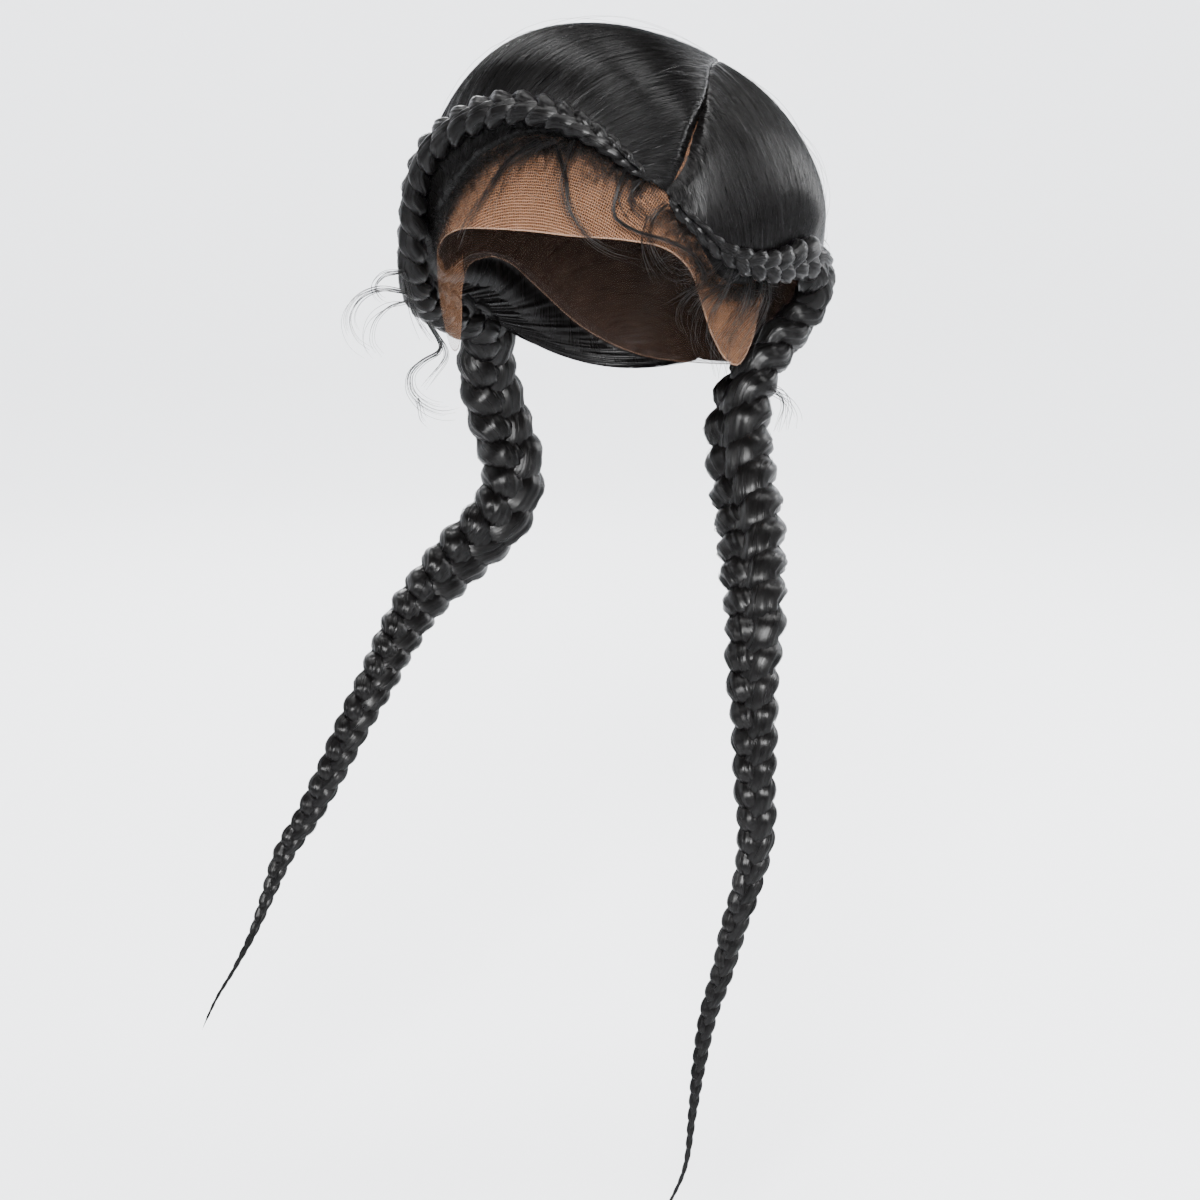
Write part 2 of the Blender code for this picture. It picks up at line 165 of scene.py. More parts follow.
# Free braid below the head, as shares of its drop: down, outward, forward, and the
# azimuth that its broad face looks to
RIGHT_BRAID_FREE = (
    (0.09, 0.012, -0.030, -113), (0.163, -0.003, -0.042, -118), (0.226, -0.028, -0.036, -123),
    (0.298, -0.023, -0.003, -128), (0.34, 0.008, 0.036, -132), (0.377, 0.026, 0.084, -136),
    (0.416, 0.041, 0.133, -139), (0.458, 0.044, 0.184, -141), (0.503, 0.044, 0.235, -143),
    (0.563, 0.059, 0.277, -144), (0.63, 0.080, 0.307, -145), (0.69, 0.104, 0.331, -146),
    (0.741, 0.128, 0.355, -147), (0.801, 0.144, 0.377, -148), (0.852, 0.156, 0.398, -149),
    (0.904, 0.177, 0.416, -150), (0.958, 0.205, 0.431, -151), (1.0, 0.220, 0.443, -152),
)
LEFT_BRAID_FREE = (
    (0.031, -0.014, -0.013, 116), (0.053, -0.026, -0.002, 124), (0.082, -0.044, 0.026, 134),
    (0.113, -0.056, 0.053, 145), (0.149, -0.058, 0.075, 156), (0.19, -0.048, 0.094, 167),
    (0.229, -0.027, 0.120, 176), (0.265, -0.006, 0.149, 183), (0.306, 0.015, 0.186, 188),
    (0.349, 0.033, 0.217, 191), (0.395, 0.040, 0.239, 193), (0.446, 0.050, 0.253, 194),
    (0.501, 0.055, 0.263, 195), (0.557, 0.060, 0.267, 196), (0.612, 0.053, 0.272, 197),
    (0.665, 0.038, 0.275, 197), (0.716, 0.026, 0.277, 198), (0.764, 0.012, 0.280, 198),
    (0.822, 0.002, 0.282, 199), (0.882, -0.005, 0.284, 199), (0.942, -0.012, 0.287, 200),
    (1.0, -0.036, 0.289, 200),
)

# Width of each braid: share of its length, share of the full width
RIGHT_WIDTHS = (
    (0.0, 0.14), (0.045, 0.35), (0.082, 0.48), (0.127, 0.56), (0.21, 0.57), (0.306, 0.70),
    (0.366, 0.78), (0.42, 0.92), (0.50, 1.0), (0.56, 1.0), (0.60, 0.93), (0.647, 0.77),
    (0.70, 0.64), (0.752, 0.53), (0.81, 0.43), (0.855, 0.33), (0.882, 0.245), (0.918, 0.13),
    (0.95, 0.06), (1.0, 0.03),
)
LEFT_WIDTHS = (
    (0.0, 0.14), (0.052, 0.27), (0.096, 0.42), (0.148, 0.56), (0.20, 0.70), (0.26, 0.90),
    (0.33, 1.05), (0.40, 1.04), (0.45, 1.0), (0.49, 0.90), (0.53, 0.80), (0.59, 0.65),
    (0.675, 0.52), (0.713, 0.42), (0.79, 0.31), (0.87, 0.20), (0.913, 0.12), (0.957, 0.066),
    (1.0, 0.035),
)

# How the hair is combed into each braid: share along where it starts, share along the braid
RIGHT_FROM_PART = (
    (0.0, 0.0), (0.15, 0.10), (0.25, 0.17), (0.33, 0.25), (0.40, 0.34), (0.47, 0.46),
    (0.55, 0.60), (0.65, 0.74), (0.80, 0.88), (1.0, 1.0),
)
LEFT_FROM_PART = (
    (0.0, 0.0), (0.05, 0.18), (0.12, 0.42), (0.20, 0.58), (0.30, 0.72), (0.40, 0.82),
    (0.50, 0.88), (0.65, 0.93), (0.80, 0.97), (1.0, 1.0),
)
RIGHT_FROM_HAIRLINE = (
    (0.0, 0.03), (0.1, 0.12), (0.2, 0.24), (0.3, 0.37), (0.4, 0.54), (0.5, 0.71),
    (0.6, 0.85), (0.7, 0.94), (0.8, 0.97), (1.0, 1.0),
)
LEFT_FROM_HAIRLINE = (
    (0.0, 0.03), (0.1, 0.23), (0.2, 0.38), (0.3, 0.61), (0.4, 0.83), (0.45, 0.91),
    (0.6, 0.97), (1.0, 1.0),
)

# Looks of the materials
NET_PITCH = 0.0013
NET_THREAD = (0.04, 0.13)
NET_SPREAD = 0.25
NET_BUMP = 0.4
NET_RELIEF = 0.0002
NET_PATCHES = 0.012
LACE_GLOSS = 0.05
LACE_ROUGHNESS = 0.75
HAIR_GLOSS = 0.12
HAIR_STRETCH = 0.75
HAIR_BUMP = 0.7
HAIR_ROUGHNESS = (0.24, 0.40)
PLAIT_ROUGHNESS = (0.27, 0.42)
BLACK = (0.0008, 0.0007, 0.0007)
SOFT_BLACK = (0.0024, 0.0022, 0.0022)
LACE_BROWN = (0.170, 0.088, 0.050)
ROOT_BROWN = (0.030, 0.018, 0.013)
EDGE_BROWN = (0.20, 0.125, 0.088)
SCALP_BROWN = (0.075, 0.038, 0.022)

# Drawn strands of the braids
RINGS_PER_LOBE = 11
STRAND_SIDES = 34
GROOVES = (4, 5, 7, 9, 11, 13)
GROOVE_DEPTH = 0.00020
ROOT_SHARE = 0.3
ROOT_LOBES = 0.8
TIP_LOBES = 1.5
BRAID_FIBRES_RIGHT = 1200
BRAID_FIBRES_LEFT = 1100
FIBRE_STEPS = 9
FIBRE_SPACING = 0.01
FIBRE_CLEARANCE = 0.0003
RIBBON_RIDGE = 0.7
BEAD_ROUNDNESS = 0.97
HIDDEN_WITHIN = 0.92
SLOPE_STEP = 0.01
STRAND_OFFSET = 0.7

# Part, edges and locks of the combed hair
PART_SHOWN = 0.0019
PART_WIDEST = 0.09
PART_SHUT = 0.27
PART_RAGGED = 0.35
PART_OVERLAP = 0.0012
EDGE_RISE = 0.003
OPEN_EDGE_RISE = 0.008
PART_STEEP = 0.0010
SHUT_FILL = 0.70
PART_GENTLE = 0.013
PART_CLOSES = 0.20
LOCK_DEPTH = 0.00035
GATHER_START = 0.35
RIM_GATHER = 0.0075
TOP_GATHER = 0.0030

# Net of the lace
LACE_COLUMNS = 240
LACE_ROWS = 70
LACE_LIFT = 0.0006
ROOTED_FROM = 0.8
ROOTED_TO_EDGE = 84.0
EDGE_BAND = 0.0007
PART_BAND = 0.0060

# Grids of the combed hair: across the fibres, along them, and how many locks
RIGHT_TOP_GRID = (260, 48, 60)
RIGHT_RIM_GRID = (200, 14, 50)
LEFT_TOP_GRID = (260, 40, 60)
LEFT_RIM_GRID = (140, 12, 40)

# Fibres over the combed hair: name, flow, count, points, longest share, how far they stand off
COMBED_FIBRES = (
    ("combed_right_fibres", "right_top", 3000, 13, 1.0, 0.0007),
    ("combed_left_fibres", "left_top", 2400, 12, 1.0, 0.0007),
    ("rim_right_fibres", "right_rim", 1500, 7, 1.0, 0.0007),
    ("rim_left_fibres", "left_rim", 900, 7, 1.0, 0.0007),
    ("fly_right", "right_top", 130, 16, 0.9, 0.0045),
    ("fly_left", "left_top", 100, 16, 0.9, 0.0045),
)

# Short hairs in front of a hairline: name, line, side, span along it, count, length, half
# width, rise, bend, points
HAIRLINE_HAIRS = (
    ("fuzz_right", "right", -1, (0.0, 0.42), 2400, 0.010, 0.00010, 0.002, 1.3, 6),
    ("fuzz_left", "left", 1, (0.0, 0.40), 1100, 0.010, 0.00010, 0.002, 1.3, 6),
    ("baby_right", "right", -1, (0.0, 0.36), 420, 0.036, 0.00010, 0.003, 2.2, 14),
    ("baby_left", "left", 1, (0.0, 0.34), 180, 0.028, 0.00010, 0.003, 2.2, 12),
)
HAIRLINE_FUZZ = 0.0032
HAIRLINE_OVERLAP = 0.001
SHORT_HAIR_LIFT = 0.0012
KNOT_LIFT = 0.0011

# Knots beside a line: line, side, span along it, count, how far out they reach
KNOTS = (
    ("right", -1, (0.0, 0.42), 2600, 0.0095),
    ("left", 1, (0.0, 0.40), 1300, 0.0080),
    ("part", 1, (0.0, 0.30), 260, 0.0018),
    ("part", -1, (0.0, 0.30), 260, 0.0018),
)

# Wisps, as places in the photograph: hairs, how far they fan out, and their path
WISPS_ON_HEAD = (
    (14, 3.5, ((556, 148), (564, 171), (570, 208), (591, 239), (613, 252), (640, 259))),
    (10, 5.0, ((575, 140), (566, 165), (562, 190), (575, 220), (600, 244))),
    (12, 3.5, ((626, 168), (616, 196), (613, 214), (634, 230), (671, 242), (695, 257),
              (704, 282), (689, 294), (677, 315), (686, 334), (701, 327))),
    (3, 3.0, ((722, 262), (710, 275), (684, 296), (649, 315))),
    (12, 4.5, ((540, 141), (512, 159), (487, 196), (469, 226), (456, 263))),
    (9, 6.0, ((556, 141), (530, 152), (508, 172), (494, 205), (487, 232))),
    (12, 7.0, ((668, 205), (655, 215), (648, 235), (655, 262), (668, 280))),
    (10, 7.0, ((640, 180), (628, 196), (640, 215), (662, 222), (684, 236))),
    (14, 8.0, ((735, 258), (722, 290), (706, 312), (700, 340), (716, 372))),
    (14, 8.0, ((752, 268), (748, 300), (735, 325), (722, 345), (728, 376))),
    (12, 8.0, ((765, 272), (764, 300), (755, 322), (738, 350), (733, 384))),
    (8, 6.0, ((742, 262), (728, 282), (704, 296), (690, 318), (694, 344))),
)
WISPS_BESIDE = (
    (11, 5.0, ((407, 292), (378, 290), (359, 300), (350, 318), (357, 338), (374, 350))),
    (9, 4.5, ((405, 271), (382, 277), (376, 287), (381, 297), (391, 302))),
    (9, 4.0, ((404, 272), (408, 295), (413, 314), (423, 333), (437, 350))),
    (12, 4.5, ((427, 322), (440, 350), (422, 362), (411, 375), (411, 388), (422, 402),
               (442, 410), (462, 406))),
    (5, 4.0, ((418, 398), (420, 404), (424, 419), (432, 426))),
    (7, 4.0, ((432, 326), (446, 356), (433, 375), (422, 389))),
    (7, 5.0, ((408, 300), (388, 306), (372, 322), (368, 344), (380, 364))),
    (8, 4.5, ((768, 386), (782, 396), (785, 407), (782, 421), (777, 440))),
    (4, 4.0, ((770, 392), (790, 402), (797, 415), (796, 430))),
)
WISP_LIFT = (0.0065, 0.0035)
WISP_HALF = 0.00023
WISP_STEPS = 26
NEAR_REACH = 1.15
FAR_REACH = 1.60

# Stage and lights
FLOOR = -0.56
FLOOR_PALE = (0.80, 0.81, 0.83)
FLOOR_RADIUS = 2.0
FLOOR_BEND = 1.0
BEND_STEPS = 12
WALL_HEIGHT = 2.6
WALL_SIDES = 64
SKY_COLOUR = (0.95, 0.97, 1.0)
SKY_STRENGTH = 0.26

# Name, place, target, size and power of each light
LIGHTS = (
    ("key", (0.62, -1.35, 0.62), (0, 0, -0.12), 0.50, 105),
    ("fill_left", (1.5, -0.6, 0.3), (0, 0, -0.15), 0.9, 8),
    ("fill_right", (-1.4, -0.6, 0.4), (0, 0, -0.15), 0.9, 8),
    ("top", (0.0, -0.1, 1.6), (0, 0, -0.1), 0.8, 26),
    ("back_left", (1.1, 1.5, 0.7), (0, 0, -0.15), 0.8, 30),
    ("back_right", (-1.1, 1.5, 0.7), (0, 0, -0.15), 0.8, 30),
    ("wall_left", (0.9, 0.5, 1.7), (0.4, 2.9, -0.1), 1.2, 85),
    ("wall_right", (-0.9, 0.5, 1.7), (-1.6, 2.3, -0.1), 1.2, 85),
)


# Head form


def head_field(offset):
    """How far out each offset from the head's centre lies: 1 is on the scalp."""
    x, y, z = offset[..., 0], offset[..., 1], offset[..., 2]
    length = np.where(y < 0, HEAD_FRONT, HEAD_BACK)
    plan = np.abs(2 * x / HEAD_WIDTH) ** PLAN_ROUNDNESS + np.abs(y / length) ** PLAN_ROUNDNESS
    behind = np.clip(y / (np.hypot(x, y) + 1e-9), 0.0, 1.0) ** 2
    drop = TEMPLE_DROP + (NAPE_DROP - TEMPLE_DROP) * behind
    upper = plan ** (DOME_ROUNDNESS / PLAN_ROUNDNESS) + np.abs(z / HEAD_RISE) ** DOME_ROUNDNESS
    lower = plan ** (JAW_ROUNDNESS / PLAN_ROUNDNESS) + np.abs(z / drop) ** JAW_ROUNDNESS
    return np.where(z >= 0, upper ** (1 / DOME_ROUNDNESS), lower ** (1 / JAW_ROUNDNESS))


def unit(vectors):
    return vectors / np.maximum(np.linalg.norm(vectors, axis=-1, keepdims=True), 1e-12)


def direction(azimuth, elevation):
    a, e = np.radians(azimuth), np.radians(elevation)
    return np.stack([np.sin(a) * np.cos(e), -np.cos(a) * np.cos(e), np.sin(e) + 0 * a], -1)


def travelled(points, axis=0):
    """Distance along rows of points, from 0 at the first one."""
    steps = np.linalg.norm(np.diff(points, axis=axis), axis=-1)
    return np.cumsum(np.insert(steps, 0, 0.0, axis=axis), axis=axis)


def read_rows(at, marks, rows):
    """Reads rows of three numbers between the marks that they stand at."""
    return np.stack([np.interp(at, marks, rows[:, k]) for k in range(3)], -1)


def scalp_normal(offset):
    step = 0.00001
    slopes = [head_field(offset + side) - head_field(offset - side) for side in np.eye(3) * step]
    return unit(np.stack(slopes, -1))


def on_head(directions, lift=0.0):
    """Points and outward normals this far above the scalp in these directions."""
    offset = directions / head_field(directions)[..., None]
    normal = scalp_normal(offset)
    return HEAD_CENTRE + offset + normal * np.asarray(lift)[..., None], normal


def smooth_rows(rows, count, closed=False):
    """Reads a table as one smooth curve, at evenly spaced places along it."""
    rows = np.array(rows, float)
    if closed:
        rows = np.vstack([rows[-1:], rows, rows[:2]])
        rows[0, 0] -= 360
        rows[-2:, 0] += 360
    knots = travelled(rows)
    slopes = np.gradient(rows, knots, axis=0)
    start, end = (knots[1], knots[-2]) if closed else (knots[0], knots[-1])
    at = np.linspace(start, end, count, endpoint=not closed)
    span = np.clip(np.searchsorted(knots, at, side="right") - 1, 0, len(knots) - 2)
    width = (knots[span + 1] - knots[span])[:, None]
    t = (at - knots[span])[:, None] / width
    return (
        (2 * t**3 - 3 * t**2 + 1) * rows[span]
        + (t**3 - 2 * t**2 + t) * width * slopes[span]
        + (3 * t**2 - 2 * t**3) * rows[span + 1]
        + (t**3 - t**2) * width * slopes[span + 1]
    )


def line_on_head(rows, count, closed=False):
    """Directions along a table of azimuths and elevations, evenly spaced on the scalp."""
    table = smooth_rows(rows, READS_PER_POINT * count, closed)
    points, _ = on_head(direction(table[:, 0], table[:, 1]))
    if closed:
        points = np.vstack([points, points[:1]])
        table = np.vstack([table, table[:1] + (360, 0)])
    along = travelled(points)
    at = np.linspace(0, along[-1], count, endpoint=not closed)
    return np.stack([np.interp(at, along, table[:, k]) for k in (0, 1)], 1)


def line_directions(rows, count=EDGE_POINTS):
    """The same line as directions."""
    places = line_on_head(rows, count)
    return direction(places[:, 0], places[:, 1])


def smoothstep(value):
    value = np.clip(value, 0.0, 1.0)
    return value * value * (3 - 2 * value)


def nearest(directions, line):
    """Distance over the scalp from each direction to the nearest point of a line."""
    points, marks = on_head(directions)[0], on_head(line)[0]
    flat = points.reshape(-1, 3)
    gaps = np.empty(len(flat))
    for start in range(0, len(flat), BLOCK):
        block = slice(start, start + BLOCK)
        gaps[block] = np.linalg.norm(flat[block, None] - marks[None], axis=2).min(axis=1)
    return gaps.reshape(points.shape[:-1])


HAIR_PART = line_directions(PART_LINE)
HAIR_OUTLINE = np.vstack([line_directions(RIGHT_HAIRLINE), line_directions(LEFT_HAIRLINE)])


def hair_depth(directions, part_slope=PART_SLOPE):
    """Thickness of the combed hair: thin at its edges, deepest in a crest above the braid."""
    crest = direction(*CREST_PLACE)
    angle = np.degrees(np.arccos(np.clip(directions @ crest, -1, 1)))
    depth = HAIR_DEPTH + CREST_HEIGHT * np.exp(-((angle / CREST_ANGLE) ** 2))
    rise = smoothstep(nearest(directions, HAIR_OUTLINE) / HAIRLINE_SLOPE)
    from_part = nearest(directions, HAIR_PART) / part_slope
    rise = rise * smoothstep(PART_EDGE_SHARE + (1 - PART_EDGE_SHARE) * from_part)
    return HAIR_EDGE + (depth - HAIR_EDGE) * rise


# Materials


def new_material(name, colour, roughness):
    material = bpy.data.materials.new(name)
    material.use_nodes = True
    nodes, links = material.node_tree.nodes, material.node_tree.links
    finish = nodes["Principled BSDF"]
    finish.inputs["Base Color"].default_value = (*colour, 1.0)
    finish.inputs["Roughness"].default_value = roughness
    return material, nodes, links, finish


def flow_noise(nodes, links, across, along, detail):
    """Noise in streaks along the fibres: across and along are its sizes in metres."""
    flow = nodes.new("ShaderNodeUVMap")
    flow.uv_map = "flow"
    stretch = nodes.new("ShaderNodeVectorMath")
    stretch.operation = "MULTIPLY"
    stretch.inputs[1].default_value = (1 / across, 1 / along, 1.0)
    noise = nodes.new("ShaderNodeTexNoise")
    noise.noise_dimensions = "2D"
    noise.inputs["Scale"].default_value = 1.0
    noise.inputs["Detail"].default_value = detail
    links.new(flow.outputs["UV"], stretch.inputs[0])
    links.new(stretch.outputs["Vector"], noise.inputs["Vector"])
    return noise.outputs["Fac"]


def ramp(nodes, links, value, low, high):
    """A colour ramp between two greys or colours, driven by a value."""
    blend = nodes.new("ShaderNodeValToRGB")
    blend.color_ramp.elements[0].color = (*low, 1.0)
    blend.color_ramp.elements[1].color = (*high, 1.0)
    blend.color_ramp.elements[0].position = 0.3
    blend.color_ramp.elements[1].position = 0.7
    links.new(value, blend.inputs["Fac"])
    return blend.outputs["Color"]


def add_bump(nodes, links, finish, height, strength, distance):
    bump = nodes.new("ShaderNodeBump")
    bump.inputs["Strength"].default_value = strength
    bump.inputs["Distance"].default_value = distance
    links.new(height, bump.inputs["Height"])
    links.new(bump.outputs["Normal"], finish.inputs["Normal"])
    return bump


def hair_material(name, fine, relief, gloss=HAIR_ROUGHNESS):
    """Black fibre: streaked colour and gloss, a fine ribbed bump, and a sheen across it."""
    material, nodes, links, finish = new_material(name, BLACK, gloss[0])
    streaks = flow_noise(nodes, links, fine, 60 * fine, 3.0)
    clumps = flow_noise(nodes, links, 7 * fine, 200 * fine, 2.0)
    links.new(ramp(nodes, links, clumps, BLACK, SOFT_BLACK), finish.inputs["Base Color"])
    rough = ramp(nodes, links, streaks, (gloss[0],) * 3, (gloss[1],) * 3)
    links.new(rough, finish.inputs["Roughness"])
    add_bump(nodes, links, finish, streaks, HAIR_BUMP, relief)
    tangent = nodes.new("ShaderNodeTangent")
    tangent.direction_type = "UV_MAP"
    tangent.uv_map = "flow"
    links.new(tangent.outputs["Tangent"], finish.inputs["Tangent"])
    finish.inputs["Anisotropic"].default_value = HAIR_STRETCH
    finish.inputs["Specular IOR Level"].default_value = HAIR_GLOSS
    return material


def lace_material(name, colour, cover):
    """Sheer net: brown threads round small holes, with the hair knots tied into it."""
    material, nodes, links, finish = new_material(name, colour, LACE_ROUGHNESS)
    finish.inputs["Specular IOR Level"].default_value = LACE_GLOSS
    flow = nodes.new("ShaderNodeUVMap")
    flow.uv_map = "flow"
    holes = nodes.new("ShaderNodeTexVoronoi")
    holes.voronoi_dimensions = "2D"
    holes.feature = "DISTANCE_TO_EDGE"
    holes.inputs["Scale"].default_value = 1 / NET_PITCH
    holes.inputs["Randomness"].default_value = NET_SPREAD
    links.new(flow.outputs["UV"], holes.inputs["Vector"])
    threads = nodes.new("ShaderNodeMapRange")
    threads.inputs["From Min"].default_value = NET_THREAD[0]
    threads.inputs["From Max"].default_value = NET_THREAD[1]
    threads.inputs["To Min"].default_value = 1.0
    threads.inputs["To Max"].default_value = cover
    links.new(holes.outputs["Distance"], threads.inputs["Value"])
    links.new(threads.outputs["Result"], finish.inputs["Alpha"])
    tone = flow_noise(nodes, links, NET_PATCHES, NET_PATCHES, 3.0)
    lighter = tuple(1.25 * c for c in colour)
    links.new(ramp(nodes, links, tone, colour, lighter), finish.inputs["Base Color"])
    bump = add_bump(nodes, links, finish, holes.outputs["Distance"], NET_BUMP, NET_RELIEF)
    bump.invert = True
    return material


HAIR = hair_material("combed_black_hair", 0.00060, 0.00010)
PLAIT = hair_material("plaited_black_hair", 0.00055, 0.00012, PLAIT_ROUGHNESS)
FIBRE = hair_material("loose_black_fibre", 0.0002, 0.00002)
BABY = hair_material("fine_baby_hair", 0.0002, 0.00002)
NET = lace_material("brown_lace_net", LACE_BROWN, 0.10)
ROOTED = lace_material("knotted_lace_net", ROOT_BROWN, 0.30)
SELVEDGE = lace_material("lace_selvedge", EDGE_BROWN, 0.45)
SCALP = lace_material("doubled_lace_net", SCALP_BROWN, 0.80)
KNOT = new_material("hair_knot", (0.008, 0.006, 0.005), 0.8)[0]


# Mesh making


def add_object(name, data):
    piece = bpy.data.objects.new(name, data)
    bpy.context.collection.objects.link(piece)
    return piece


def mesh_piece(name, points, quads, uv, material, slot, nodes=()):
    """One mesh object from points, four-cornered faces and a place on the flow map."""
    mesh = bpy.data.meshes.new(name)
    quads = np.asarray(quads, np.int32)
    mesh.vertices.add(len(points))
    mesh.vertices.foreach_set("co", np.asarray(points, np.float32).ravel())
    mesh.loops.add(quads.size)
    mesh.loops.foreach_set("vertex_index", quads.ravel())
    mesh.polygons.add(len(quads))
    mesh.polygons.foreach_set("loop_start", np.arange(len(quads), dtype=np.int32) * 4)
    mesh.update(calc_edges=True)
    layer = mesh.uv_layers.new(name="flow")
    layer.data.foreach_set("uv", np.asarray(uv, np.float32)[quads.ravel()].ravel())
    mesh.validate()
    mesh.shade_smooth()
    mesh.materials.append(material)
    piece = add_object(name, mesh)
    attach(piece, "root")
    if nodes:
        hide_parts(*nodes)
    return piece


def grid_quads(rows, columns, closed=False):
    """Faces of a grid of points, row by row; closed joins each row's end to its start."""
    width = columns if closed else columns - 1
    r, c = np.meshgrid(np.arange(rows - 1), np.arange(width), indexing="ij")
    n = (c + 1) % columns
    here, there = r * columns, (r + 1) * columns
    return np.stack([here + c, here + n, there + n, there + c], -1).reshape(-1, 4)


def strips(points, centres, half_widths, closed):
    """Points, faces and flow map of many fibres, with three points at each step."""
    count, length = centres.shape[:2]
    one = grid_quads(length, 3, closed)
    quads = (one[None] + (np.arange(count) * length * 3)[:, None, None]).reshape(-1, 4)
    along = np.repeat(travelled(centres, 1)[..., None], 3, axis=2)
    across = half_widths[..., None] * np.array([-1, 0, 1])
    across = np.arange(count)[:, None, None] * FIBRE_SPACING + across
    uv = np.stack([across, along], -1).reshape(-1, 2)
    return points.reshape(-1, 3), quads, uv


def ribbon_piece(name, centres, normals, half_widths):
    """Many fibres, each a strip with a raised middle."""
    heading = unit(np.gradient(centres, axis=1))
    side = unit(np.cross(heading, normals)) * half_widths[..., None]
    ridge = centres + unit(np.cross(side, heading)) * half_widths[..., None] * RIBBON_RIDGE
    points = np.stack([centres + side, ridge, centres - side], axis=2)
    mesh_piece(name, *strips(points, centres, half_widths, False), FIBRE, "hair")


def tube_piece(name, centres, normals, half_widths):
    """Many fibres, each a thin three-sided tube."""
    heading = unit(np.gradient(centres, axis=1))
    side = unit(np.cross(heading, normals))
    up = np.cross(side, heading)
    turn = np.radians([90.0, 210.0, 330.0])[:, None]
    spoke = np.cos(turn) * side[:, :, None] + np.sin(turn) * up[:, :, None]
    points = centres[:, :, None] + spoke * half_widths[:, :, None, None]
    mesh_piece(name, *strips(points, centres, half_widths, True), BABY, "hair")


# Braids


def braid_route(on_head_rows, free_rows, drop, widths, side):
    """Distances, places, broad-face directions and widths along a braid, root to tip."""
    places = smooth_rows(on_head_rows, ON_HEAD_POINTS)
    heading = direction(places[:, 0], places[:, 1])
    free = np.array(free_rows, float)
    facing = direction(free[:, 3], np.zeros(len(free)))
    share = np.linspace(0, FIRST_ON_HEAD_SHARE, ON_HEAD_POINTS)
    across = unit(np.cross(heading, np.gradient(heading, axis=0)))
    for _ in range(ROUTE_ROUNDS):
        width = BRAID_WIDTH * np.interp(share, *np.array(widths).T)
        reach = (BED_SHARE * width / HEAD_FRONT)[:, None] * across
        bed = np.max([hair_depth(unit(heading + step * reach)) for step in (-1, 0, 1)], axis=0)
        lift = HAIR_INSIDE + bed + CLEARANCE + BRAID_DEPTH_SHARE * width / 2
        laid, normals = on_head(heading, lift)
        moves = np.stack([side * free[:, 1], -free[:, 2], -free[:, 0]], 1) * drop
        knots = np.vstack([laid[::ON_HEAD_STEP], laid[-1:], laid[-1] + moves])
        looks = np.vstack([normals[::ON_HEAD_STEP], normals[-1:], facing])
        table = smooth_rows(np.hstack([knots, looks * LOOK_WEIGHT]), ROUTE_POINTS)
        route, look = table[:, :3], unit(table[:, 3:])
        along = travelled(route)
        on_scalp = np.linalg.norm(route - laid[-1], axis=1).argmin()
        share = np.linspace(0, along[on_scalp] / along[-1], ON_HEAD_POINTS)
    width = BRAID_WIDTH * np.interp(along / along[-1], *np.array(widths).T)
    return along, route, look, np.maximum(width, TIP_WIDTH)


